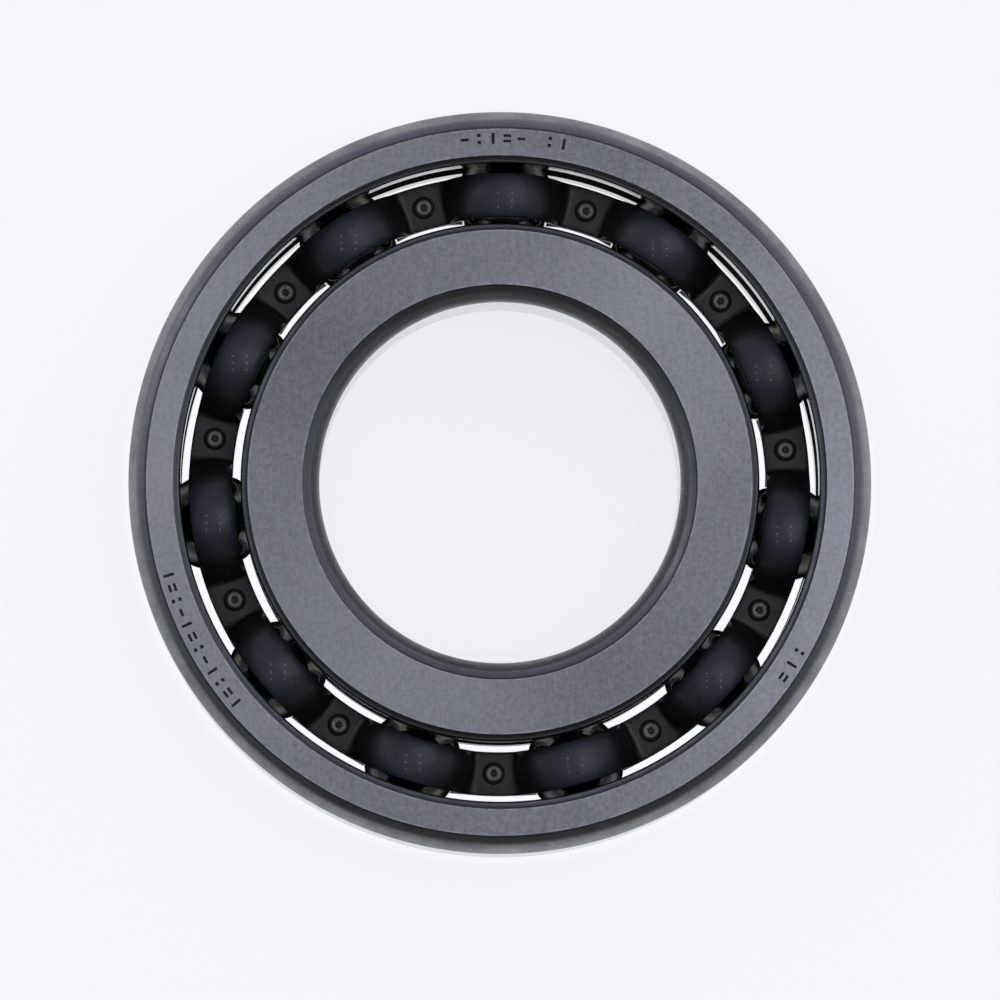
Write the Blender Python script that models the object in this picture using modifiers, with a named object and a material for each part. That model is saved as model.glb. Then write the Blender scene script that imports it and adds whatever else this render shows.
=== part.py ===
"""Open deep groove ball bearing, 35 x 72 x 17 mm, with a riveted pressed steel cage.

Units are metres. The bearing's axis is Z and its centre is the origin, so it lies flat on a side face.
Each physical piece is one object: two rings, the balls, two cage halves and the cage's rivets.
"""

from math import acos, asin, atan2, cos, pi, radians, sin, sqrt

import bmesh
import bpy
from mathutils import Matrix, Vector

MM = 0.001

# Boundary dimensions, as ISO 15 gives them for a 35 mm bore in diameter series 2.
BORE_DIAMETER = 35 * MM
OUTSIDE_DIAMETER = 72 * MM
WIDTH = 17 * MM
CORNER_RADIUS = 1.65 * MM  # corners at the bore and at the outside diameter
SHOULDER_CHAMFER = 0.7 * MM  # small chamfers where the shoulders meet the side faces

# The ball complement. The pitch circle lies a little outside the middle of the section,
# so the inner ring is the thicker one.
BALL_COUNT = 11
BALL_DIAMETER = 9.525 * MM  # 3/8 inch
FIRST_BALL_ANGLE = radians(88.9)  # where the free cage happens to stand
PITCH_SHARE = 0.57  # how far out across the section the pitch circle lies
SHOULDER_HEIGHT = 1.95 * MM  # depth of each raceway below its shoulders
INNER_CONFORMITY = 0.515  # raceway groove radius over ball diameter
OUTER_CONFORMITY = 0.525

# The cage: two pressed ribbons that meet between the balls, where rivets hold them together.
SHEET_THICKNESS = 1.0 * MM
LEAST_BEND_RADIUS = 0.1 * MM  # on the outer skin, where a pocket turns into a flat
CAGE_TO_INNER_SHOULDER = 0.83 * MM
CAGE_TO_OUTER_SHOULDER = 0.76 * MM
RIVET_HEAD_DIAMETER = 2.3 * MM
RIVET_HEAD_HEIGHT = 0.75 * MM
RIVET_SHANK_DIAMETER = 1.3 * MM
RIVET_DIMPLE_DIAMETER = 0.8 * MM
RIVET_DIMPLE_DEPTH = 0.2 * MM

# Clearances between pieces.
RACEWAY_CLEARANCE = 0.1 * MM  # ball to raceway bottom
POCKET_CLEARANCE = 0.25 * MM  # ball to cage pocket
FLAT_GAP = 0.1 * MM  # between the two cage halves where the rivets clamp them
RIVET_SEAT_GAP = 0.05 * MM  # under each rivet head
RIVET_HEAD_TO_BEND = 0.44 * MM  # how far the flat runs past the head on each side
RIVET_HOLE_CLEARANCE = 0.08 * MM  # rivet shank to hole wall

# How finely round shapes are divided.
RING_STEPS = 64
CORNER_STEPS = 3
GROOVE_STEPS = 8
BALL_SUBDIVISIONS = 3
DOME_STEPS, BEND_STEPS = 5, 2
CAGE_ROWS = 3
RIVET_STEPS = 10
RIVET_CROWN_STEPS = 2
HOLE_STEPS = 10

# What follows from them.
ball_radius = BALL_DIAMETER / 2
bore_radius = BORE_DIAMETER / 2
outside_radius = OUTSIDE_DIAMETER / 2
half_width = WIDTH / 2
pitch_radius = bore_radius + (outside_radius - bore_radius) * PITCH_SHARE
inner_raceway_radius = pitch_radius - ball_radius - RACEWAY_CLEARANCE
outer_raceway_radius = pitch_radius + ball_radius + RACEWAY_CLEARANCE
inner_shoulder_radius = inner_raceway_radius + SHOULDER_HEIGHT
outer_shoulder_radius = outer_raceway_radius - SHOULDER_HEIGHT
ball_pitch_angle = 2 * pi / BALL_COUNT

cage_inner_radius = inner_shoulder_radius + CAGE_TO_INNER_SHOULDER
cage_outer_radius = outer_shoulder_radius - CAGE_TO_OUTER_SHOULDER
pocket_radius = ball_radius + POCKET_CLEARANCE
rivet_seat_height = FLAT_GAP / 2 + SHEET_THICKNESS + RIVET_SEAT_GAP
flat_half_angle = (RIVET_HEAD_DIAMETER / 2 + RIVET_HEAD_TO_BEND) / pitch_radius


def clear_scene():
    for obj in list(bpy.data.objects):
        bpy.data.objects.remove(obj)


def new_collection(name):
    collection = bpy.data.collections.new(name)
    bpy.context.scene.collection.children.link(collection)
    return collection


def new_empty(name, collection, location=(0, 0, 0)):
    empty = bpy.data.objects.new(name, None)
    empty.location = location
    collection.objects.link(empty)
    return empty


def steel(name, colour, roughness):
    material = bpy.data.materials.new(name)
    material.use_nodes = True
    shader = material.node_tree.nodes["Principled BSDF"]
    shader.inputs["Base Color"].default_value = (*colour, 1)
    shader.inputs["Metallic"].default_value = 1
    shader.inputs["Roughness"].default_value = roughness
    return material


def add_object(name, mesh, material, collection, parent=None, location=(0, 0, 0)):
    """An object for this mesh. Copies of a piece share one mesh and so one material."""
    obj = bpy.data.objects.new(name, mesh)
    if not mesh.materials:
        mesh.materials.append(material)
    obj.parent = parent
    obj.location = location
    collection.objects.link(obj)
    return obj


def arc(centre, radius, start, end, steps):
    """Points (x, z) along an arc from angle start to angle end, both ends included."""
    angles = [start + (end - start) * i / steps for i in range(steps + 1)]
    return [(centre[0] + radius * cos(a), centre[1] + radius * sin(a)) for a in angles]


def turned_mesh(name, profile, closed):
    """A mesh of edges in the XZ plane, for a Screw modifier to turn round Z."""
    mesh = bpy.data.meshes.new(name)
    count = len(profile)
    edges = [(i, (i + 1) % count) for i in range(count if closed else count - 1)]
    mesh.from_pydata([(x, 0, z) for x, z in profile], edges, [])
    return mesh


def add_screw(obj, steps):
    screw = obj.modifiers.new("Turn", "SCREW")
    screw.angle = 2 * pi
    screw.steps = steps
    screw.render_steps = steps
    screw.use_merge_vertices = True
    screw.merge_threshold = 0.01 * MM
    screw.use_smooth_shade = False


def mirrored_down(top_half):
    """A profile's upper points followed by their mirror images below the middle plane."""
    return top_half + [(x, -z) for x, z in reversed(top_half)]


def groove(pitch_side, shoulder_radius, raceway_radius, groove_radius):
    """The raceway's arc, bottom to top. pitch_side is 1 where the groove opens outwards."""
    centre_x = raceway_radius + pitch_side * groove_radius
    half_angle = acos(abs(centre_x - shoulder_radius) / groove_radius)
    middle = pi if pitch_side > 0 else 0
    turn = -pitch_side * half_angle
    return arc((centre_x, 0), groove_radius, middle - turn, middle + turn, GROOVE_STEPS)


def corner(sign, radius):
    """Upper corner of a ring at the bore (sign -1) or at the outside (sign 1), top first."""
    centre = (radius - sign * CORNER_RADIUS, half_width - CORNER_RADIUS)
    return arc(centre, CORNER_RADIUS, pi / 2, pi / 2 - sign * pi / 2, CORNER_STEPS)


def shoulder_edge(sign, shoulder_radius):
    """Upper chamfer between a shoulder and the side face, top first."""
    face = (shoulder_radius - sign * SHOULDER_CHAMFER, half_width)
    return [face, (shoulder_radius, half_width - SHOULDER_CHAMFER)]


def make_outer_ring(material, collection):
    outside = mirrored_down(corner(1, outside_radius))
    shoulders = mirrored_down(shoulder_edge(-1, outer_shoulder_radius))
    raceway = groove(-1, outer_shoulder_radius, outer_raceway_radius, OUTER_CONFORMITY * BALL_DIAMETER)
    inside = shoulders[3:1:-1] + raceway + shoulders[1::-1]
    mesh = turned_mesh("outer_ring", outside + inside, closed=True)
    ring = add_object("outer_ring", mesh, material, collection)
    add_screw(ring, RING_STEPS)


def make_inner_ring(material, collection, axis):
    bore = mirrored_down(corner(-1, bore_radius))
    shoulders = mirrored_down(shoulder_edge(1, inner_shoulder_radius))
    raceway = groove(1, inner_shoulder_radius, inner_raceway_radius, INNER_CONFORMITY * BALL_DIAMETER)
    outside = shoulders[:2] + raceway[::-1] + shoulders[2:]
    mesh = turned_mesh("inner_ring", outside + bore[::-1], closed=True)
    ring = add_object("inner_ring", mesh, material, collection, parent=axis)
    add_screw(ring, RING_STEPS)


def ball_angle(number):
    return FIRST_BALL_ANGLE - number * ball_pitch_angle


def on_pitch_circle(angle):
    return Vector((pitch_radius * cos(angle), pitch_radius * sin(angle), 0))


def make_balls(material, collection, cage_axis):
    """The balls, each with its origin at its centre, which is on the axis that it spins about."""
    mesh = bpy.data.meshes.new("ball")
    sphere = bmesh.new()
    bmesh.ops.create_icosphere(sphere, subdivisions=BALL_SUBDIVISIONS, radius=ball_radius)
    sphere.to_mesh(mesh)
    sphere.free()
    mesh.shade_smooth()
    for number in range(BALL_COUNT):
        centre = on_pitch_circle(ball_angle(number))
        add_object(f"ball_{number + 1:02d}", mesh, material, collection, cage_axis, centre)


def half_pocket_path(ribbon_radius, skin):
    """Points (angle from the ball, height) of one skin of the sheet, from the ball to the rivet.

    skin is 0 for the side that faces the balls and 1 for the other. On the cylinder of this radius
    a pocket is a circle, once angles are measured as chords from the ball: the dome. An arc tangent
    to it bends into the flat, which starts where the rivet's seat does.
    """
    dome_radius = pocket_radius + skin * SHEET_THICKNESS
    flat_height = FLAT_GAP / 2 + skin * SHEET_THICKNESS
    section = sqrt(dome_radius**2 - (ribbon_radius - pitch_radius) ** 2)
    chord = 2 * sqrt(ribbon_radius * pitch_radius)
    bend_end = chord * sin((ball_pitch_angle / 2 - flat_half_angle) / 2)
    bend = (bend_end**2 + flat_height**2 - section**2) / (2 * (section - flat_height))
    least_bend = LEAST_BEND_RADIUS + (1 - skin) * SHEET_THICKNESS
    if bend < least_bend:
        bend = least_bend
        bend_end = sqrt((section + bend) ** 2 - (flat_height + bend) ** 2)
    lean = atan2(flat_height + bend, bend_end)
    dome = arc((0, 0), section, pi / 2, lean, DOME_STEPS)
    fillet = arc((bend_end, flat_height + bend), bend, pi + lean, 3 * pi / 2, BEND_STEPS)
    path = [(2 * asin(x / chord), z) for x, z in dome + fillet[1:]]
    return path + [(ball_pitch_angle / 2, flat_height)]


def ribbon_ring(ribbon, radius, skin, side):
    """The vertices of one skin on one cylinder, all the way round."""
    path = half_pocket_path(radius, skin)
    ring = []
    for number in range(BALL_COUNT):
        middle = FIRST_BALL_ANGLE + number * ball_pitch_angle
        places = [(middle + angle, height) for angle, height in path[:-1]]
        places += [(middle + ball_pitch_angle - angle, height) for angle, height in path[:0:-1]]
        for angle, height in places:
            ring.append(ribbon.verts.new((radius * cos(angle), radius * sin(angle), side * height)))
    return ring


def ribbon_mesh(name, side):
    """The pressed sheet as one closed loft: both skins, and the blanked edges that join them."""
    radii = [
        cage_inner_radius + (cage_outer_radius - cage_inner_radius) * row / CAGE_ROWS
        for row in range(CAGE_ROWS + 1)
    ]
    ribbon = bmesh.new()
    top = [ribbon_ring(ribbon, radius, 1, side) for radius in radii]
    underside = [ribbon_ring(ribbon, radius, 0, side) for radius in reversed(radii)]
    rings = top + underside
    for ring, following in zip(rings, rings[1:] + rings[:1]):
        for i in range(len(ring)):
            ribbon.faces.new((ring[i - 1], ring[i], following[i], following[i - 1]))
    bmesh.ops.recalc_face_normals(ribbon, faces=ribbon.faces)
    mesh = bpy.data.meshes.new(name)
    ribbon.to_mesh(mesh)
    ribbon.free()
    mesh.shade_smooth()
    return mesh


def rivet_angles():
    return [ball_angle(number) - ball_pitch_angle / 2 for number in range(BALL_COUNT)]


def make_hole_cutter(collection):
    """One cylinder for each rivet hole, longer than both sheets are thick."""
    mesh = bpy.data.meshes.new("rivet_hole_cutter")
    cylinders = bmesh.new()
    hole_radius = RIVET_SHANK_DIAMETER / 2 + RIVET_HOLE_CLEARANCE
    for angle in rivet_angles():
        bmesh.ops.create_cone(
            cylinders,
            cap_ends=True,
            segments=HOLE_STEPS,
            radius1=hole_radius,
            radius2=hole_radius,
            depth=4 * rivet_seat_height,
            matrix=Matrix.Translation(on_pitch_circle(angle)) @ Matrix.Rotation(angle, 4, "Z"),
        )
    cylinders.to_mesh(mesh)
    cylinders.free()
    cutter = bpy.data.objects.new("rivet_hole_cutter", mesh)
    cutter.hide_render = True
    cutter.display_type = "WIRE"
    collection.objects.link(cutter)
    return cutter


def make_cage_half(name, side, material, collection, axis, cutter):
    """A pressed ribbon above (side 1) or below (side -1) the cage's middle plane."""
    half = add_object(name, ribbon_mesh(name, side), material, collection, parent=axis)
    holes = half.modifiers.new("Rivet holes", "BOOLEAN")
    holes.operation = "DIFFERENCE"
    holes.solver = "EXACT"
    holes.object = cutter


def rivet_profile():
    """Half outline of a rivet, top to bottom: a round head with a dimple, the shank and a like head."""
    head_radius = RIVET_HEAD_DIAMETER / 2
    dimple_radius = RIVET_DIMPLE_DIAMETER / 2
    top = rivet_seat_height + RIVET_HEAD_HEIGHT
    crown_radius = (head_radius**2 + RIVET_HEAD_HEIGHT**2) / (2 * RIVET_HEAD_HEIGHT)
    crown_centre = (0, top - crown_radius)
    start = acos(dimple_radius / crown_radius)
    end = atan2(crown_radius - RIVET_HEAD_HEIGHT, head_radius)
    crown = arc(crown_centre, crown_radius, start, end, RIVET_CROWN_STEPS)
    dimple = (0, top - RIVET_DIMPLE_DEPTH)
    shank = (RIVET_SHANK_DIAMETER / 2, rivet_seat_height)
    return mirrored_down([dimple, *crown, shank])


def make_rivets(material, collection, cage_axis):
    mesh = turned_mesh("rivet", rivet_profile(), closed=False)
    for number, angle in enumerate(rivet_angles()):
        name = f"rivet_{number + 1:02d}"
        rivet = add_object(name, mesh, material, collection, cage_axis, on_pitch_circle(angle))
        rivet.rotation_euler = (0, 0, angle)
        add_screw(rivet, RIVET_STEPS)


def main():
    clear_scene()
    bearing = new_collection("ball_bearing")
    cutters = new_collection("cutters")
    ring_steel = steel("ground_ring_steel", (0.45, 0.46, 0.49), 0.34)
    ball_steel = steel("polished_ball_steel", (0.6, 0.6, 0.62), 0.08)
    cage_steel = steel("dark_cage_steel", (0.12, 0.12, 0.13), 0.42)
    rivet_steel = steel("rivet_steel", (0.22, 0.22, 0.23), 0.38)

    inner_axis = new_empty("inner_ring_axis", bearing)
    cage_axis = new_empty("cage_axis", bearing)
    make_outer_ring(ring_steel, bearing)
    make_inner_ring(ring_steel, bearing, inner_axis)
    make_balls(ball_steel, bearing, cage_axis)
    cutter = make_hole_cutter(cutters)
    make_cage_half("cage_upper_half", 1, cage_steel, bearing, cage_axis, cutter)
    make_cage_half("cage_lower_half", -1, cage_steel, bearing, cage_axis, cutter)
    make_rivets(rivet_steel, bearing, cage_axis)


main()
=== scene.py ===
"""Open deep groove ball bearing with a riveted ribbon cage: its looks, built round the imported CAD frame.

Units are metres. The bearing's axis is Z and its centre is the origin; it lies on its lower side face.
"""

from math import acos, asin, atan2, cos, pi, radians, sin, sqrt

import bmesh
import bpy
from mathutils import Matrix, Vector


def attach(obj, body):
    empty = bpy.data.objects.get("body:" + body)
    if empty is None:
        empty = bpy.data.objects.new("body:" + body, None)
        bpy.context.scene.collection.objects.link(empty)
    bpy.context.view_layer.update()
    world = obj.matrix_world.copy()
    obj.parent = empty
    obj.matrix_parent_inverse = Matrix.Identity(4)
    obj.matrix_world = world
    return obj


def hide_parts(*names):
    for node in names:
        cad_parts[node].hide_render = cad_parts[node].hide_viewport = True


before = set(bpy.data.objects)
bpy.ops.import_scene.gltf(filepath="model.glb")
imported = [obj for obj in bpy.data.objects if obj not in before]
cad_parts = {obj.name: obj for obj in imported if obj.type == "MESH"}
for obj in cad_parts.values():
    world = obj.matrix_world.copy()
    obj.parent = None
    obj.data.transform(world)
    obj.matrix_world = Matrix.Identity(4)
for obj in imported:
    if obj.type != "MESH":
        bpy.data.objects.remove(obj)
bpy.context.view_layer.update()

MM = 0.001
scene = bpy.context.scene

# Sizes that the CAD model also has.
OUTER_R = 36.0 * MM
BORE_R = 17.5 * MM
HALF_W = 8.5 * MM
CORNER_DROP = 1.65 * MM  # from a side face down to where the corner meets the cylinder
OUTER_SHOULDER_R = 30.96 * MM
INNER_SHOULDER_R = 25.13 * MM
OUTER_RACEWAY_R = 32.9075 * MM
INNER_RACEWAY_R = 23.1825 * MM
OUTER_GROOVE_R = 0.525 * 9.525 * MM
INNER_GROOVE_R = 0.515 * 9.525 * MM
PITCH_R = 28.045 * MM
BALL_R = 4.7625 * MM
BALLS = 11
PITCH = 2 * pi / BALLS
FIRST_BALL = radians(88.9)
CAGE_IN_R = 25.96 * MM
CAGE_OUT_R = 30.20 * MM
SHEET = 1.0 * MM
POCKET_R = BALL_R + 0.25 * MM
FLAT_Z = 0.05 * MM
FLAT_HALF_ANGLE = 1.59 * MM / PITCH_R
RIVET_SHANK_R = 0.65 * MM

# Finer shapes of the rings. Each corner is a short slope from the side face to a knee, and a
# rounding from there to the cylinder.
OUTER_FACE = (31.68 * MM, 34.27 * MM)  # inner and outer edge of the flat side face
INNER_FACE = (19.15 * MM, 24.45 * MM)
OUTER_KNEE_R = 35.12 * MM
INNER_KNEE_R = 18.33 * MM
KNEE_DROP = 0.42 * MM
SLOPE_BULGE = 0.035 * MM
OUTER_CHAMFER_DROP = 0.50 * MM
INNER_CHAMFER_DROP = 0.48 * MM
CHAMFER_BULGE = 0.09 * MM
MARK_R = 33.32 * MM
MARK_DEPTH = 0.06 * MM

# Finer shapes of the cage. Its rivets stand closer to the sheet than the CAD model's do.
RIM_ROUNDING = 0.10 * MM  # on the sheet's blanked edges
RIVET_SEAT_Z = 1.06 * MM  # just clear of the flats
RIVET_HOLE_R = 0.70 * MM

# How finely round shapes are divided.
RING_SEGMENTS = 288
GROOVE_STEPS = 28
ROUNDING_STEPS = 12
SLOPE_STEPS = 6
CHAMFER_STEPS = 8
DOME_STEPS, BEND_STEPS, FLAT_STEPS = 22, 9, 4
RIBBON_ROWS = 8
RIVET_SEGMENTS = 40
HOLE_SEGMENTS = 32
BALL_SUBDIVISIONS = 6


# ---------------------------------------------------------------- mesh helpers

def arc(centre, radius, start, end, steps):
    """Points along an arc in the RZ plane, both ends included."""
    angles = [start + (end - start) * i / steps for i in range(steps + 1)]
    return [(centre[0] + radius * cos(a), centre[1] + radius * sin(a)) for a in angles]


def bulged(start, end, bulge, steps):
    """A shallow curve between two points that stands out to its left by bulge."""
    (x0, z0), (x1, z1) = start, end
    length = sqrt((x1 - x0) ** 2 + (z1 - z0) ** 2)
    nx, nz = -(z1 - z0) / length, (x1 - x0) / length
    points = []
    for i in range(steps + 1):
        t = i / steps
        out = bulge * 4 * t * (1 - t)
        points.append((x0 + (x1 - x0) * t + nx * out, z0 + (z1 - z0) * t + nz * out))
    return points


def rounded_off(knee, end_r, end_z):
    """From a corner's knee, at 45 degrees, to where it runs into the cylinder."""
    turn_z = knee[1] - abs(end_r - knee[0])
    points = []
    for i in range(ROUNDING_STEPS + 1):
        t = i / ROUNDING_STEPS
        a, b, c = (1 - t) ** 2, 2 * t * (1 - t), t * t
        points.append((a * knee[0] + (b + c) * end_r, a * knee[1] + b * turn_z + c * end_z))
    return points


def flipped(run):
    points, material = run
    return ([(r, -z) for r, z in reversed(points)], material)


def lathe(name, runs, materials, segments, closed):
    """A turned mesh. runs are smooth stretches of the outline, each with its material's number;
    the outline has a crease where one run meets the next."""
    outline, stretch_material, creases = [], [], set()
    for points, material in runs:
        if outline:
            creases.add(len(outline) - 1)
            points = points[1:]
        for point in points:
            if outline:
                stretch_material.append(material)
            outline.append(point)
    if closed:
        outline.pop()
        creases.add(0)
    bm = bmesh.new()
    rings = []
    for r, z in outline:
        if r < 1e-7:
            rings.append([bm.verts.new((0, 0, z))])
        else:
            turns = [2 * pi * k / segments for k in range(segments)]
            rings.append([bm.verts.new((r * cos(t), r * sin(t), z)) for t in turns])
    for j, material in enumerate(stretch_material):
        a, b = rings[j], rings[(j + 1) % len(rings)]
        for k in range(segments):
            n = (k + 1) % segments
            if len(a) == 1:
                face = bm.faces.new((a[0], b[k], b[n]))
            elif len(b) == 1:
                face = bm.faces.new((a[k], b[0], a[n]))
            else:
                face = bm.faces.new((a[k], b[k], b[n], a[n]))
            face.smooth = True
            face.material_index = material
    bmesh.ops.recalc_face_normals(bm, faces=bm.faces)
    bm.edges.ensure_lookup_table()
    for j in creases:
        ring = rings[j]
        for k in range(len(ring)):
            edge = bm.edges.get((ring[k], ring[(k + 1) % len(ring)])) if len(ring) > 1 else None
            if edge:
                edge.smooth = False
    return finish_mesh(name, bm, materials)


def finish_mesh(name, bm, materials):
    mesh = bpy.data.meshes.new(name)
    bm.to_mesh(mesh)
    bm.free()
    for material in materials:
        mesh.materials.append(material)
    return mesh


def add(name, mesh, location=(0, 0, 0), turn=0.0):
    obj = bpy.data.objects.new(name, mesh)
    obj.location = location
    obj.rotation_euler = (0, 0, turn)
    scene.collection.objects.link(obj)
    return obj


def bake_modifiers(obj):
    """The object's mesh becomes what its modifiers make of it."""
    bpy.context.view_layer.update()
    graph = bpy.context.evaluated_depsgraph_get()
    mesh = bpy.data.meshes.new_from_object(obj.evaluated_get(graph), depsgraph=graph)
    mesh.name = obj.name
    obj.modifiers.clear()
    obj.data = mesh


def cut(obj, cutter):
    boolean = obj.modifiers.new("cut", "BOOLEAN")
    boolean.operation = "DIFFERENCE"
    boolean.solver = "EXACT"
    boolean.material_mode = "TRANSFER"
    boolean.object = cutter
    bake_modifiers(obj)
    bpy.data.objects.remove(cutter)


def stands_for(obj, body, node):
    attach(obj, body)
    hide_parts(node)


# ---------------------------------------------------------------- material helpers

class Tree:
    """A node tree with short calls for the nodes that materials and the world share."""

    def __init__(self, tree):
        self.tree = tree

    def link(self, value, socket):
        if isinstance(value, bpy.types.NodeSocket):
            self.tree.links.new(value, socket)
        else:
            socket.default_value = value

    def xyz(self, vector):
        node = self.tree.nodes.new("ShaderNodeSeparateXYZ")
        self.link(vector, node.inputs[0])
        return node.outputs

    def ramp(self, value, low, high, to_low=0.0, to_high=1.0, smooth=True):
        node = self.tree.nodes.new("ShaderNodeMapRange")
        node.interpolation_type = "SMOOTHSTEP" if smooth else "LINEAR"
        self.link(value, node.inputs["Value"])
        node.inputs["From Min"].default_value = low
        node.inputs["From Max"].default_value = high
        node.inputs["To Min"].default_value = to_low
        node.inputs["To Max"].default_value = to_high
        return node.outputs["Result"]

    def colours(self, value, stops):
        """A colour ramp. stops are places along it with their colours."""
        node = self.tree.nodes.new("ShaderNodeValToRGB")
        self.link(value, node.inputs[0])
        elements = node.color_ramp.elements
        while len(elements) < len(stops):
            elements.new(0.5)
        for element, (place, colour) in zip(elements, stops):
            element.position = place
            element.color = (*colour, 1)
        return node.outputs[0]


class Nodes(Tree):
    """A new material's node tree."""

    def __init__(self, name):
        self.material = bpy.data.materials.new(name)
        self.material.use_nodes = True
        super().__init__(self.material.node_tree)
        self.shader = self.tree.nodes["Principled BSDF"]
        self.place = self.tree.nodes.new("ShaderNodeTexCoord").outputs["Object"]

    def math(self, operation, a, b=None, c=None):
        node = self.tree.nodes.new("ShaderNodeMath")
        node.operation = operation
        for socket, value in zip(node.inputs, (a, b, c)):
            if value is not None:
                self.link(value, socket)
        return node.outputs[0]

    def mapped(self, scale=(1, 1, 1), turn=0.0, shift=(0, 0, 0)):
        """Object coordinates, turned about Z, shifted and then scaled."""
        node = self.tree.nodes.new("ShaderNodeMapping")
        node.inputs["Location"].default_value = shift
        node.inputs["Rotation"].default_value = (0, 0, turn)
        self.link(self.place, node.inputs["Vector"])
        stretch = self.tree.nodes.new("ShaderNodeVectorMath")
        stretch.operation = "MULTIPLY"
        self.tree.links.new(node.outputs[0], stretch.inputs[0])
        stretch.inputs[1].default_value = scale
        return stretch.outputs[0]

    def noise(self, vector, scale=1.0, detail=2.0, roughness=0.5):
        node = self.tree.nodes.new("ShaderNodeTexNoise")
        node.inputs["Scale"].default_value = scale
        node.inputs["Detail"].default_value = detail
        node.inputs["Roughness"].default_value = roughness
        self.link(vector, node.inputs["Vector"])
        return node.outputs["Fac"]

    def specks(self, scale, size, share, shift=(0, 0, 0)):
        """Sparse small dots: 1 inside a dot of this size (in cells) in this share of the cells."""
        node = self.tree.nodes.new("ShaderNodeTexVoronoi")
        node.inputs["Scale"].default_value = scale
        self.link(self.mapped(shift=shift), node.inputs["Vector"])
        inside = self.ramp(node.outputs["Distance"], size, size * 0.4)
        split = self.tree.nodes.new("ShaderNodeSeparateColor")
        self.tree.links.new(node.outputs["Color"], split.inputs[0])
        chosen = self.math("LESS_THAN", split.outputs[0], share)
        return self.math("MULTIPLY", inside, chosen)

    def mix(self, factor, a, b):
        node = self.tree.nodes.new("ShaderNodeMix")
        node.data_type = "RGBA"
        self.link(factor, node.inputs["Factor"])
        for value, socket in ((a, node.inputs["A"]), (b, node.inputs["B"])):
            colour = value if isinstance(value, bpy.types.NodeSocket) else (*value, 1)
            self.link(colour, socket)
        return node.outputs["Result"]

    def radius_and_height(self):
        """Distance from the Z axis, and Z."""
        x, y, z = self.xyz(self.place)
        square = self.math("MULTIPLY_ADD", x, x, self.math("MULTIPLY", y, y))
        return self.math("SQRT", square), z

    def turned_lines(self, across, along):
        """Fine lines round the axis: noise that changes fast with radius and height, slowly with angle."""
        r, z = self.radius_and_height()
        x, y, _ = self.xyz(self.place)
        up_and_out = self.math("ADD", r, self.math("MULTIPLY", z, 0.7))
        join = self.tree.nodes.new("ShaderNodeCombineXYZ")
        for socket, value, rate in zip(join.inputs, (up_and_out, x, y), (across, along, along)):
            self.link(self.math("MULTIPLY", value, rate), socket)
        return self.noise(join.outputs[0], detail=3)

    def sector(self, angle):
        """From -1 to 1 round the axis, twice: 1 at this angle and opposite it."""
        x, y, _ = self.xyz(self.place)
        turn = self.math("ARCTAN2", y, x)
        return self.math("COSINE", self.math("MULTIPLY", self.math("SUBTRACT", turn, angle), 2.0))

    def bump(self, height, distance):
        node = self.tree.nodes.new("ShaderNodeBump")
        node.inputs["Strength"].default_value = 1.0
        node.inputs["Distance"].default_value = distance
        self.link(height, node.inputs["Height"])
        return node.outputs["Normal"]

    def finish(self, colour, roughness, normal=None, metallic=1.0, **fixed):
        """Sends these to the shader. fixed holds other sockets' values, with _ for a space."""
        flat_colour = isinstance(colour, tuple)
        self.link((*colour, 1) if flat_colour else colour, self.shader.inputs["Base Color"])
        self.link(roughness, self.shader.inputs["Roughness"])
        self.link(metallic, self.shader.inputs["Metallic"])
        if normal is not None:
            self.link(normal, self.shader.inputs["Normal"])
        for socket, value in fixed.items():
            self.shader.inputs[socket.replace("_", " ")].default_value = value
        return self.material


def scaled(colour, level):
    return tuple(value * level for value in colour)


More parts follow.
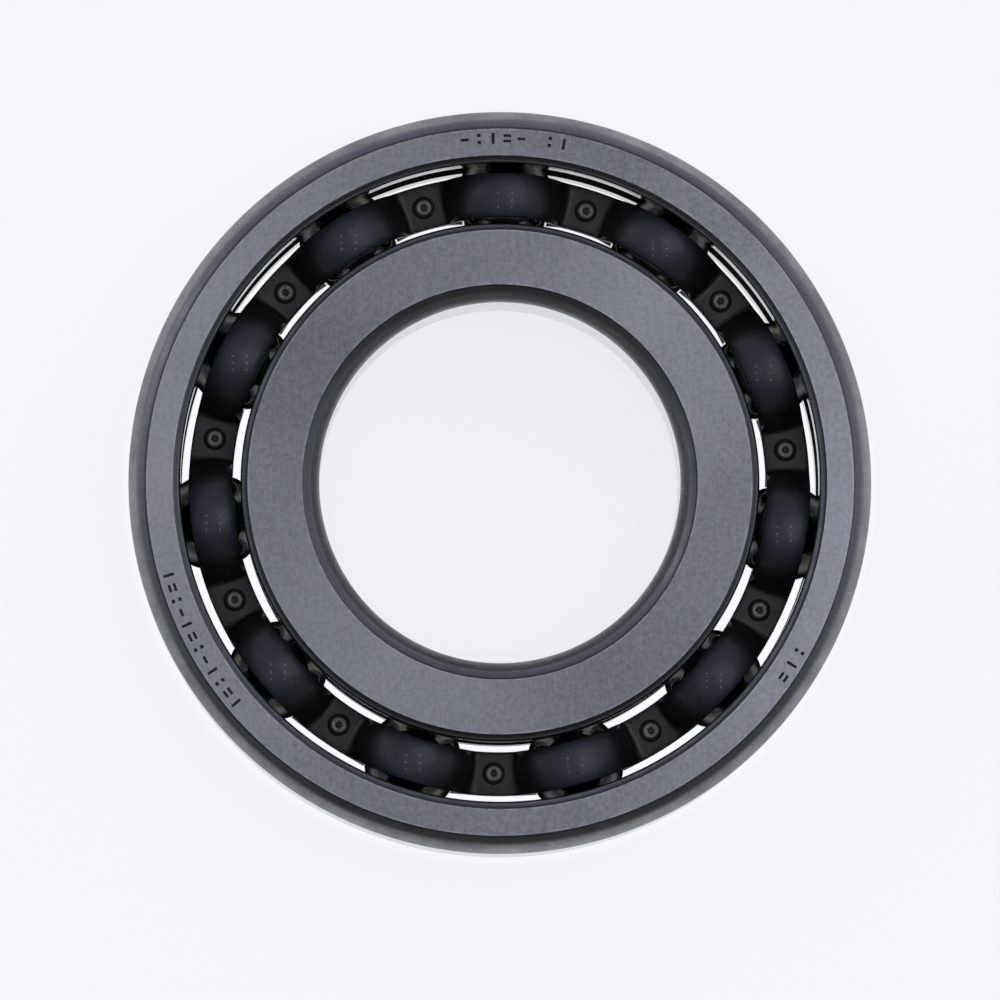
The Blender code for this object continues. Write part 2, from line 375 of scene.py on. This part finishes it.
def ground_face(name, edges, shift, level, highlight_fan_angle):
    """A side face ground between discs: fine grain, faint scratches in two directions, slow clouding,
    two opposite sectors lightened as a painted highlight fan, a few nicks, and painted highlights along the
    edges."""
    n = Nodes(name)
    r, _ = n.radius_and_height()
    scratch = n.noise(n.mapped((5600, 240, 1), radians(-4), shift), detail=3)
    cross_scratch = n.noise(n.mapped((5200, 330, 1), radians(31), shift), detail=2)
    grain = n.noise(n.mapped(shift=shift), 2100, detail=4, roughness=0.7)
    fine = n.noise(n.mapped(shift=shift), 7600, detail=2, roughness=0.6)
    cloud = n.noise(n.mapped(shift=shift), 80, detail=3)
    tone = n.math("MULTIPLY_ADD", scratch, 0.17, n.math("MULTIPLY", cross_scratch, 0.07))
    tone = n.math("MULTIPLY_ADD", grain, 0.46, tone)
    tone = n.math("MULTIPLY_ADD", fine, 0.08, tone)
    tone = n.math("MULTIPLY_ADD", cloud, 0.22, tone)
    # Painted highlight: two opposite sectors of the face are lightened, standing in for the fan of light the
    # grinding reflects.
    tone = n.math("MULTIPLY_ADD", n.sector(highlight_fan_angle), 0.085, tone)
    spread = n.ramp(tone, 0.28, 0.72, smooth=False)
    colour = n.mix(spread, scaled((0.285, 0.29, 0.345), level), scaled((0.66, 0.665, 0.75), level))
    # Painted highlight: a thin, uneven lighter band along both edges of the face.
    rim_in = n.ramp(r, edges[0] + 0.25 * MM, edges[0])
    rim_out = n.ramp(r, edges[1] - 0.25 * MM, edges[1])
    rim = n.math("MAXIMUM", rim_in, rim_out)
    uneven = n.ramp(n.noise(n.mapped(shift=shift), 900, detail=2), 0.38, 0.62)
    colour = n.mix(n.math("MULTIPLY", n.math("MULTIPLY", rim, uneven), 0.4), colour, (0.72, 0.73, 0.78))
    flecks = n.specks(420, 0.055, 0.14, shift)
    colour = n.mix(n.math("MULTIPLY", flecks, 0.6), colour, (0.9, 0.9, 0.92))
    nicks = n.specks(130, 0.035, 0.12, (shift[0], 0.7, 0))
    colour = n.mix(nicks, colour, (0.95, 0.95, 0.96))
    stains = n.specks(260, 0.1, 0.2, (shift[0] + 0.5, 0.2, 0))
    colour = n.mix(n.math("MULTIPLY", stains, 0.22), colour, (0.24, 0.24, 0.27))
    rough = n.ramp(tone, 0.28, 0.72, 0.42, 0.30, smooth=False)
    height = n.math("MULTIPLY_ADD", grain, 0.6, n.math("MULTIPLY", scratch, 0.4))
    return n.finish(colour, rough, n.bump(height, 0.003 * MM))


def turned_corner(name, knee_line, level):
    """A ring's corner: turned before hardening and never ground, so it is darker, duller and streaky.
    A dark line of painted shade runs along the side face's edge, and knee_line gives the strength of a
    second painted shade line at the knee. The small shoulder chamfers, beside the gaps, are darkened further
    with painted shade."""
    n = Nodes(name)
    r, z = n.radius_and_height()
    depth = n.math("SUBTRACT", HALF_W, n.math("ABSOLUTE", z))
    lines = n.turned_lines(7500, 90)
    streaks = n.noise(n.mapped((1, 1, 0.25)), 330, detail=4, roughness=0.65)
    cloud = n.noise(n.place, 90, detail=2)
    grain = n.noise(n.place, 2600, detail=3, roughness=0.7)
    tone = n.math("MULTIPLY_ADD", lines, 0.24, n.math("MULTIPLY", streaks, 0.34))
    tone = n.math("MULTIPLY_ADD", cloud, 0.20, tone)
    tone = n.math("MULTIPLY_ADD", grain, 0.22, tone)
    spread = n.ramp(tone, 0.36, 0.64, smooth=False)
    slope = n.mix(spread, scaled((0.20, 0.198, 0.238), level), scaled((0.36, 0.354, 0.412), level))
    rounding = n.mix(spread, scaled((0.145, 0.146, 0.156), level), scaled((0.31, 0.31, 0.322), level))
    uneven = n.math("MULTIPLY_ADD", streaks, 0.30 * MM, depth)
    colour = n.mix(n.ramp(uneven, 0.46 * MM, 0.66 * MM), slope, rounding)
    # Painted shade: a dark line along the side face's edge.
    colour = n.mix(n.ramp(depth, 0.11 * MM, 0.03 * MM, 0, 0.6), colour, (0.07, 0.07, 0.085))
    # Painted shade: a second dark line at the knee, as strong as knee_line.
    at_knee = n.ramp(n.math("ABSOLUTE", n.math("SUBTRACT", depth, 0.46 * MM)), 0.16 * MM, 0.04 * MM)
    colour = n.mix(n.math("MULTIPLY", at_knee, knee_line), colour, (0.07, 0.07, 0.08))
    worn = n.specks(520, 0.09, 0.22)
    colour = n.mix(n.math("MULTIPLY", worn, 0.35), colour, (0.58, 0.58, 0.62))
    # Painted shade: the small shoulder chamfers, close to the gaps, are darkened.
    off_pitch = n.math("ABSOLUTE", n.math("SUBTRACT", r, PITCH_R))
    colour = n.mix(n.ramp(off_pitch, 4.0 * MM, 5.0 * MM, 0.42, 0), colour, (0.035, 0.035, 0.04))
    rough = n.ramp(streaks, 0.3, 0.7, 0.32, 0.22)
    return n.finish(colour, rough, n.bump(lines, 0.004 * MM))


def ground_cylinder(name, dark, light):
    """The outside cylinder or the bore, ground round the axis to a fine bright finish."""
    n = Nodes(name)
    lines = n.turned_lines(12000, 60)
    cloud = n.noise(n.place, 120, detail=2)
    tone = n.math("MULTIPLY_ADD", lines, 0.6, n.math("MULTIPLY", cloud, 0.4))
    colour = n.mix(n.ramp(tone, 0.35, 0.65, smooth=False), dark, light)
    rough = n.ramp(tone, 0.35, 0.65, 0.22, 0.14, smooth=False)
    return n.finish(colour, rough, n.bump(lines, 0.0012 * MM))


def raceway(name):
    """Honed and oiled, with a slightly duller rolling track. Its colour, far darker than steel's, is painted
    shade and a painted reflection of the dark cage down in the groove.
    """
    n = Nodes(name)
    _, z = n.radius_and_height()
    lines = n.turned_lines(15000, 40)
    track = n.ramp(n.math("ABSOLUTE", z), 1.7 * MM, 0.9 * MM)
    # Painted shade: the raceway's colours are far darker than steel's.
    colour = n.mix(n.ramp(lines, 0.35, 0.65), (0.10, 0.096, 0.092), (0.16, 0.155, 0.148))
    rough = n.ramp(track, 0, 1, 0.24, 0.29)
    return n.finish(colour, rough, n.bump(lines, 0.0006 * MM))


def shoulder(name, dark, light, roughness):
    """A shoulder's cylinder, turned. Its colours, given far darker than steel's, are painted shade beside the
    gap.
    """
    n = Nodes(name)
    lines = n.turned_lines(8000, 80)
    colour = n.mix(n.ramp(lines, 0.35, 0.65), dark, light)
    rough = n.ramp(lines, 0.3, 0.7, roughness - 0.03, roughness + 0.04)
    return n.finish(colour, rough, n.bump(lines, 0.0015 * MM))


def etched_mark(name):
    """The dark, matt floor of the marks in the outer ring's face."""
    n = Nodes(name)
    grain = n.noise(n.place, 9000, detail=2)
    colour = n.mix(grain, (0.012, 0.012, 0.014), (0.045, 0.045, 0.05))
    return n.finish(colour, n.ramp(grain, 0.3, 0.7, 0.5, 0.7), n.bump(grain, 0.01 * MM), metallic=0.3)


def phosphated_sheet(name):
    """Blackened pressed steel under a trace of oil: a fine mottled film, press marks that run round the
    ribbon, and a painted sheen that makes the crowns over the balls bluer and lighter."""
    n = Nodes(name)
    _, z = n.radius_and_height()
    grain = n.noise(n.place, 5200, detail=3, roughness=0.6)
    cloud = n.noise(n.place, 420, detail=3)
    lines = n.turned_lines(5200, 260)
    tone = n.math("MULTIPLY_ADD", grain, 0.35, n.math("MULTIPLY", cloud, 0.35))
    tone = n.math("MULTIPLY_ADD", lines, 0.3, tone)
    spread = n.ramp(tone, 0.34, 0.66, smooth=False)
    colour = n.mix(spread, (0.0075, 0.0075, 0.0095), (0.022, 0.022, 0.026))
    # Painted sheen: the crowns over the balls get a bluer, lighter colour, standing in for the glow of the
    # overhead light.
    painted_crown_sheen = n.mix(spread, (0.030, 0.032, 0.058), (0.053, 0.055, 0.096))
    crown = n.ramp(n.math("ABSOLUTE", z), 4.2 * MM, 5.9 * MM)
    colour = n.mix(crown, colour, painted_crown_sheen)
    rough = n.ramp(tone, 0.36, 0.64, 0.48, 0.36, smooth=False)
    height = n.math("MULTIPLY_ADD", lines, 0.5, n.math("MULTIPLY", grain, 0.5))
    return n.finish(colour, rough, n.bump(height, 0.006 * MM), metallic=0.0, IOR=1.62,
                    Coat_Weight=0.2, Coat_Roughness=0.05)


def rivet_metal(name):
    """A headed rivet whose dark sides stand below a painted highlight: a ring on the top of the head is
    coloured brighter.
    """
    n = Nodes(name)
    r, _ = n.radius_and_height()
    grain = n.noise(n.place, 7000, detail=3, roughness=0.6)
    # Painted highlight: a lighter ring across the top of the head.
    top = n.math("MULTIPLY", n.ramp(r, 0.82 * MM, 0.60 * MM), n.ramp(r, 0.12 * MM, 0.26 * MM))
    colour = n.mix(grain, (0.035, 0.035, 0.038), (0.075, 0.075, 0.08))
    bright = n.mix(n.ramp(grain, 0.35, 0.65), (0.11, 0.11, 0.115), (0.24, 0.24, 0.245))
    colour = n.mix(top, colour, bright)
    metallic = n.math("MULTIPLY_ADD", top, 0.7, 0.1)
    return n.finish(colour, n.ramp(grain, 0.3, 0.7, 0.42, 0.30), n.bump(grain, 0.01 * MM), metallic)


def polished_ball(name):
    """Lapped chrome steel under an uneven film of oil."""
    n = Nodes(name)
    film = n.noise(n.place, 260, detail=2)
    colour = n.mix(n.ramp(film, 0.35, 0.65), (0.74, 0.735, 0.69), (0.84, 0.835, 0.79))
    rough = n.ramp(film, 0.3, 0.7, 0.04, 0.07)
    fine = n.noise(n.place, 9000, detail=2)
    return n.finish(colour, rough, n.bump(fine, 0.0003 * MM))


# ---------------------------------------------------------------- the rings

# A ring's materials, by their numbers in its mesh.
FACE, CORNER, CYLINDER, GROOVE, SHOULDER = range(5)


def groove_points(sign, raceway_r, groove_r, shoulder_r):
    """The raceway's arc from its top edge to its bottom edge. sign is -1 on the outer ring."""
    centre = raceway_r + sign * groove_r
    half = acos(abs(centre - shoulder_r) / groove_r)
    if sign < 0:
        return arc((centre, 0), groove_r, half, -half, GROOVE_STEPS)
    return arc((centre, 0), groove_r, pi - half, pi + half, GROOVE_STEPS)


def outer_ring_mesh(materials):
    face_in, face_out = ((r, HALF_W) for r in OUTER_FACE)
    knee = (OUTER_KNEE_R, HALF_W - KNEE_DROP)
    corner_end = HALF_W - CORNER_DROP
    slope = bulged(face_out, knee, SLOPE_BULGE, SLOPE_STEPS)
    rounding = rounded_off(knee, OUTER_R, corner_end)
    chamfer_foot = (OUTER_SHOULDER_R, HALF_W - OUTER_CHAMFER_DROP)
    groove = groove_points(-1, OUTER_RACEWAY_R, OUTER_GROOVE_R, OUTER_SHOULDER_R)
    outside = [([face_in, face_out], FACE), (slope + rounding[1:], CORNER)]
    inside = [
        ([groove[0], chamfer_foot], SHOULDER),
        (bulged(chamfer_foot, face_in, CHAMFER_BULGE, CHAMFER_STEPS), CORNER),
    ]
    runs = outside + [([(OUTER_R, corner_end), (OUTER_R, -corner_end)], CYLINDER)]
    runs += [flipped(run) for run in reversed(inside + outside)]
    runs += [(groove[::-1], GROOVE)] + inside
    return lathe("outer_ring_ground", runs, materials, RING_SEGMENTS, closed=True)


def inner_ring_mesh(materials):
    face_in, face_out = ((r, HALF_W) for r in INNER_FACE)
    knee = (INNER_KNEE_R, HALF_W - KNEE_DROP)
    corner_end = HALF_W - CORNER_DROP
    slope = bulged(knee, face_in, SLOPE_BULGE, SLOPE_STEPS)
    rounding = rounded_off(knee, BORE_R, corner_end)
    chamfer_foot = (INNER_SHOULDER_R, HALF_W - INNER_CHAMFER_DROP)
    groove = groove_points(1, INNER_RACEWAY_R, INNER_GROOVE_R, INNER_SHOULDER_R)
    top = [
        (rounding[::-1] + slope[1:], CORNER),
        ([face_in, face_out], FACE),
        (bulged(face_out, chamfer_foot, CHAMFER_BULGE, CHAMFER_STEPS), CORNER),
        ([chamfer_foot, groove[0]], SHOULDER),
    ]
    bore = ([(BORE_R, -corner_end), (BORE_R, corner_end)], CYLINDER)
    runs = top + [(groove, GROOVE)] + [flipped(run) for run in reversed(top)] + [bore]
    return lathe("inner_ring_ground", runs, materials, RING_SEGMENTS, closed=True)


def mark_cutter(material):
    """Plain dots, bars and dashes, which spell nothing, in the three places where a ring is marked."""
    rows = (
        (radians(95.9), -radians(2.37), "-:i=- :i"),
        (radians(195.8), radians(2.2), "i=:-i=:-i:=i"),
        (radians(-34.6), radians(2.5), "=i:"),
    )
    strokes = {
        "i": [(0, 0, 0.28, 1.05)],
        "-": [(0, 0, 0.76, 0.27)],
        ":": [(0, 0.34, 0.34, 0.32), (0, -0.34, 0.34, 0.32)],
        "=": [(0, 0.26, 0.76, 0.26), (0, -0.26, 0.76, 0.26)],
    }
    bm = bmesh.new()
    for start, step, text in rows:
        for place, sign in enumerate(text):
            for across, along, width, height in strokes.get(sign, ()):
                angle = start + step * place
                centre = (MARK_R + along * MM, across * MM, HALF_W)
                size = Matrix.Diagonal((height * MM, width * MM, 2 * MARK_DEPTH, 1))
                spot = Matrix.Rotation(angle, 4, "Z") @ Matrix.Translation(centre) @ size
                bmesh.ops.create_cube(bm, size=1, matrix=spot)
    return add("mark_cutter", finish_mesh("mark_cutter", bm, [material]))


def make_rings():
    # The second argument sets the strength of the painted shade line at the knee.
    outer_corner = turned_corner("outer_corner", 0.0, 1.0)
    inner_corner = turned_corner("inner_corner", 0.4, 0.8)
    outside = ground_cylinder("ground_outside", (0.50, 0.50, 0.515), (0.60, 0.60, 0.61))
    bore = ground_cylinder("ground_bore", (0.60, 0.60, 0.62), (0.74, 0.74, 0.75))
    groove = raceway("honed_raceway")
    # Painted shade: both shoulder walls get colours far darker than steel's.
    outer_wall = shoulder("outer_shoulder", (0.10, 0.09, 0.087), (0.155, 0.14, 0.135), 0.14)
    inner_wall = shoulder("inner_shoulder", (0.08, 0.075, 0.075), (0.14, 0.13, 0.13), 0.36)
    mark = etched_mark("etched_mark")
    # The last argument turns each face's painted highlight fan.
    outer_face = ground_face("ground_outer_face", OUTER_FACE, (0.013, 0.41, 0), 0.83, radians(-8))
    inner_face = ground_face("ground_inner_face", INNER_FACE, (0.37, 0.092, 0), 0.745, radians(46))
    outer = add("outer_ring_ground", outer_ring_mesh([outer_face, outer_corner, outside, groove, outer_wall]))
    cut(outer, mark_cutter(mark))
    stands_for(outer, "outer_ring", "outer_ring")
    inner = add("inner_ring_ground", inner_ring_mesh([inner_face, inner_corner, bore, groove, inner_wall]))
    stands_for(inner, "inner_ring", "inner_ring")


# ---------------------------------------------------------------- the cage

def half_pocket_path(radius, skin):
    """(angle from the ball, height) of one skin of the sheet, from over the ball to the rivet.
    skin is 0 on the side that faces the balls and 1 on the other."""
    dome_r = POCKET_R + skin * SHEET
    flat_z = FLAT_Z + skin * SHEET
    section = sqrt(dome_r**2 - (radius - PITCH_R) ** 2)
    chord = 2 * sqrt(radius * PITCH_R)
    bend_end = chord * sin((PITCH / 2 - FLAT_HALF_ANGLE) / 2)
    bend = (bend_end**2 + flat_z**2 - section**2) / (2 * (section - flat_z))
    lean = atan2(flat_z + bend, bend_end)
    dome = arc((0, 0), section, pi / 2, lean, DOME_STEPS)
    fillet = arc((bend_end, flat_z + bend), bend, pi + lean, 3 * pi / 2, BEND_STEPS)
    path = [(2 * asin(x / chord), z) for x, z in dome + fillet[1:]]
    last = path[-1][0]
    return path + [(last + (PITCH / 2 - last) * i / FLAT_STEPS, flat_z) for i in range(1, FLAT_STEPS + 1)]


def ribbon(name, side, material):
    """The pressed sheet as one closed loft across the ribbon. The blanked edges are rounded a
    little: the last steps to each rim drop from the skin."""
    turns = (0, pi / 6, pi / 3, pi / 2)
    edge = [(RIM_ROUNDING * (1 - sin(t)), RIM_ROUNDING * (1 - cos(t))) for t in turns]
    inner = [(CAGE_IN_R + inset, drop) for inset, drop in reversed(edge)]
    outer = [(CAGE_OUT_R - inset, drop) for inset, drop in edge]
    width = CAGE_OUT_R - CAGE_IN_R
    middle = [(CAGE_IN_R + width * row / RIBBON_ROWS, 0) for row in range(1, RIBBON_ROWS)]
    across = inner + middle + outer
    bm = bmesh.new()
    rings = []
    for skin, rows in ((1, across), (0, list(reversed(across)))):
        for radius, drop in rows:
            path = [(a, z - drop if skin else z + drop) for a, z in half_pocket_path(radius, skin)]
            ring = []
            for ball in range(BALLS):
                middle_angle = FIRST_BALL + ball * PITCH
                turns = [(middle_angle + a, z) for a, z in path[:-1]]
                turns += [(middle_angle + PITCH - a, z) for a, z in path[:0:-1]]
                ring += [bm.verts.new((radius * cos(t), radius * sin(t), side * z)) for t, z in turns]
            rings.append(ring)
    for ring, following in zip(rings, rings[1:] + rings[:1]):
        for i in range(len(ring)):
            bm.faces.new((ring[i - 1], ring[i], following[i], following[i - 1])).smooth = True
    bmesh.ops.recalc_face_normals(bm, faces=bm.faces)
    return add(name, finish_mesh(name, bm, [material]))


def hole_cutter(material):
    bm = bmesh.new()
    for k in range(BALLS):
        angle = FIRST_BALL - PITCH / 2 - k * PITCH
        spot = Matrix.Rotation(angle, 4, "Z") @ Matrix.Translation((PITCH_R, 0, 0))
        bmesh.ops.create_cone(bm, cap_ends=True, segments=HOLE_SEGMENTS, radius1=RIVET_HOLE_R,
                              radius2=RIVET_HOLE_R, depth=6 * MM, matrix=spot)
    return add("hole_cutter", finish_mesh("hole_cutter", bm, [material]))


def rivet_mesh(material):
    """Both heads alike: steep dark sides, a flat top that the material lights with a painted highlight, and a
    small dimple from the set.
    """
    head = [
        (0.00, 0.34), (0.09, 0.345), (0.17, 0.375), (0.23, 0.43), (0.30, 0.475), (0.40, 0.50),
        (0.55, 0.525), (0.68, 0.525), (0.78, 0.49), (0.88, 0.42), (0.97, 0.32), (1.04, 0.20),
        (1.09, 0.08), (1.10, 0.0),
    ]
    top = [(r * MM, RIVET_SEAT_Z + h * MM) for r, h in head]
    shank_top = (RIVET_SHANK_R, RIVET_SEAT_Z)
    upper = [(top, 0), ([top[-1], shank_top], 0)]
    shank = ([shank_top, (RIVET_SHANK_R, -RIVET_SEAT_Z)], 0)
    runs = upper + [shank] + [flipped(run) for run in reversed(upper)]
    return lathe("rivet_headed", runs, [material], RIVET_SEGMENTS, closed=False)


def make_cage():
    sheet = phosphated_sheet("phosphated_sheet")
    for name, side in (("cage_upper_half", 1), ("cage_lower_half", -1)):
        half = ribbon(name + "_pressed", side, sheet)
        cut(half, hole_cutter(sheet))
        stands_for(half, "cage", name)
    mesh = rivet_mesh(rivet_metal("rivet_metal"))
    for k in range(BALLS):
        angle = FIRST_BALL - PITCH / 2 - k * PITCH
        place = (PITCH_R * cos(angle), PITCH_R * sin(angle), 0)
        rivet = add(f"rivet_{k + 1:02d}_headed", mesh, place, angle)
        stands_for(rivet, "cage", f"rivet_{k + 1:02d}")


# ---------------------------------------------------------------- the balls

def make_balls():
    bm = bmesh.new()
    bmesh.ops.create_icosphere(bm, subdivisions=BALL_SUBDIVISIONS, radius=BALL_R)
    for face in bm.faces:
        face.smooth = True
    mesh = finish_mesh("ball_lapped", bm, [polished_ball("lapped_ball")])
    for k in range(BALLS):
        angle = FIRST_BALL - k * PITCH
        name = f"ball_{k + 1:02d}"
        ball = add(f"{name}_lapped", mesh, (PITCH_R * cos(angle), PITCH_R * sin(angle), 0))
        stands_for(ball, name, name)


# ---------------------------------------------------------------- floor, light and camera

FLOOR_R = 4.0
FLOOR_GAP = 0.01 * MM  # keeps the floor off the ring faces that rest on it
CAMERA_AIM = Vector((0.080, -1.360, 0)) * MM
CAMERA_SIDE = Vector((-0.0103, -0.0484, 1))  # almost straight above, a little to the front and left
CAMERA_DISTANCE = 1424 * MM
CAMERA_LENS = 526.5  # millimetres, on a sensor 36 mm wide


def make_floor():
    """A pale lit table. It is brightest under the bearing's gaps and falls off far away."""
    n = Nodes("light_table")
    r, _ = n.radius_and_height()
    n.finish((0.30, 0.30, 0.31), 0.9, metallic=0.0)
    n.shader.inputs["Specular IOR Level"].default_value = 0.0
    n.shader.inputs["Emission Color"].default_value = (0.955, 0.965, 1.0, 1)
    past_bore = n.ramp(r, 19 * MM, 24 * MM, 0.955, 1.15)
    past_outside = n.ramp(r, 34.5 * MM, 37.4 * MM, 1.0, 0.865)
    far_off = n.ramp(r, 0.25, 0.9, 0.855, 0.46)
    strength = n.math("MULTIPLY", n.math("MULTIPLY", past_bore, past_outside), far_off)
    n.link(strength, n.shader.inputs["Emission Strength"])
    bm = bmesh.new()
    bmesh.ops.create_circle(bm, cap_ends=True, segments=96, radius=FLOOR_R)
    floor = add("floor", finish_mesh("floor", bm, [n.material]), (0, 0, -HALF_W - FLOOR_GAP))


def make_world():
    """A soft room: brightest at the horizon, and darker and warmer towards the front, -Y."""
    world = bpy.data.worlds.new("studio")
    world.use_nodes = True
    scene.world = world
    n = Tree(world.node_tree)
    background = n.tree.nodes["Background"]
    _, along_y, up = n.xyz(n.tree.nodes.new("ShaderNodeTexCoord").outputs["Generated"])
    levels = ((0.0, 0.58), (0.25, 0.50), (0.45, 0.34), (0.62, 0.26), (0.88, 0.215), (1.0, 0.25))
    by_height = n.colours(up, [(h, scaled((0.98, 1.0, 1.05), level)) for h, level in levels])
    front_above = n.ramp(along_y, -0.75, 0.1, 0.26, 1.0)
    front_at_horizon = n.ramp(along_y, -0.95, -0.35, 0.6, 1.0, smooth=False)
    above_horizon = n.ramp(up, 0.22, 0.42)
    tint = n.colours(front_above, ((0.35, (1.06, 1.0, 0.90)), (1.0, (0.97, 1.0, 1.03))))
    tinted = n.tree.nodes.new("ShaderNodeMix")
    tinted.data_type = "RGBA"
    tinted.blend_type = "MULTIPLY"
    tinted.inputs["Factor"].default_value = 1.0
    n.link(by_height, tinted.inputs["A"])
    n.link(tint, tinted.inputs["B"])
    n.link(tinted.outputs["Result"], background.inputs["Color"])
    strength = n.tree.nodes.new("ShaderNodeMix")
    n.link(above_horizon, strength.inputs["Factor"])
    n.link(front_at_horizon, strength.inputs["A"])
    n.link(front_above, strength.inputs["B"])
    n.link(strength.outputs["Result"], background.inputs["Strength"])


def area_light(name, place, size, radiance, colour):
    """A square panel that faces the bearing, given the brightness of its surface."""
    data = bpy.data.lights.new(name, "AREA")
    data.shape = "SQUARE"
    data.size = size
    data.energy = radiance * pi * size * size
    data.color = colour
    light = bpy.data.objects.new(name, data)
    light.location = place
    light.rotation_euler = (-Vector(place)).to_track_quat("-Z", "Y").to_euler()
    light.visible_camera = False
    scene.collection.objects.link(light)


def make_lights():
    """Two large soft panels, and six small ceiling lamps that show as dots on the cage's crowns."""
    area_light("overhead", (0.50, 0.16, 1.25), 0.9, 0.52, (0.97, 0.98, 1.0))
    area_light("left_fill", (-1.1, 0.5, 0.8), 0.6, 0.30, (1.0, 0.99, 0.97))
    spacing, height, towards_front = 0.47, 2.0, 0.20
    for column in (-1, 1):
        for row in (-1, 0, 1):
            place = (spacing * column, spacing * row - towards_front, height)
            area_light(f"ceiling_{column}_{row}", place, 0.11, 7.5, (1.0, 1.0, 1.0))


def make_camera():
    data = bpy.data.cameras.new("camera")
    data.sensor_width = 36
    data.lens = CAMERA_LENS
    data.clip_start = 0.05
    data.clip_end = 20
    camera = bpy.data.objects.new("camera", data)
    back = CAMERA_SIDE.normalized()
    right = Vector((0, 1, 0)).cross(back).normalized()
    up = back.cross(right)
    turn = Matrix((right, up, back)).transposed().to_4x4()
    camera.matrix_world = Matrix.Translation(CAMERA_AIM + back * CAMERA_DISTANCE) @ turn
    scene.collection.objects.link(camera)
    scene.camera = camera


make_camera()
make_floor()
make_world()
make_lights()
make_rings()
make_cage()
make_balls()
scene.view_settings.view_transform = "Standard"
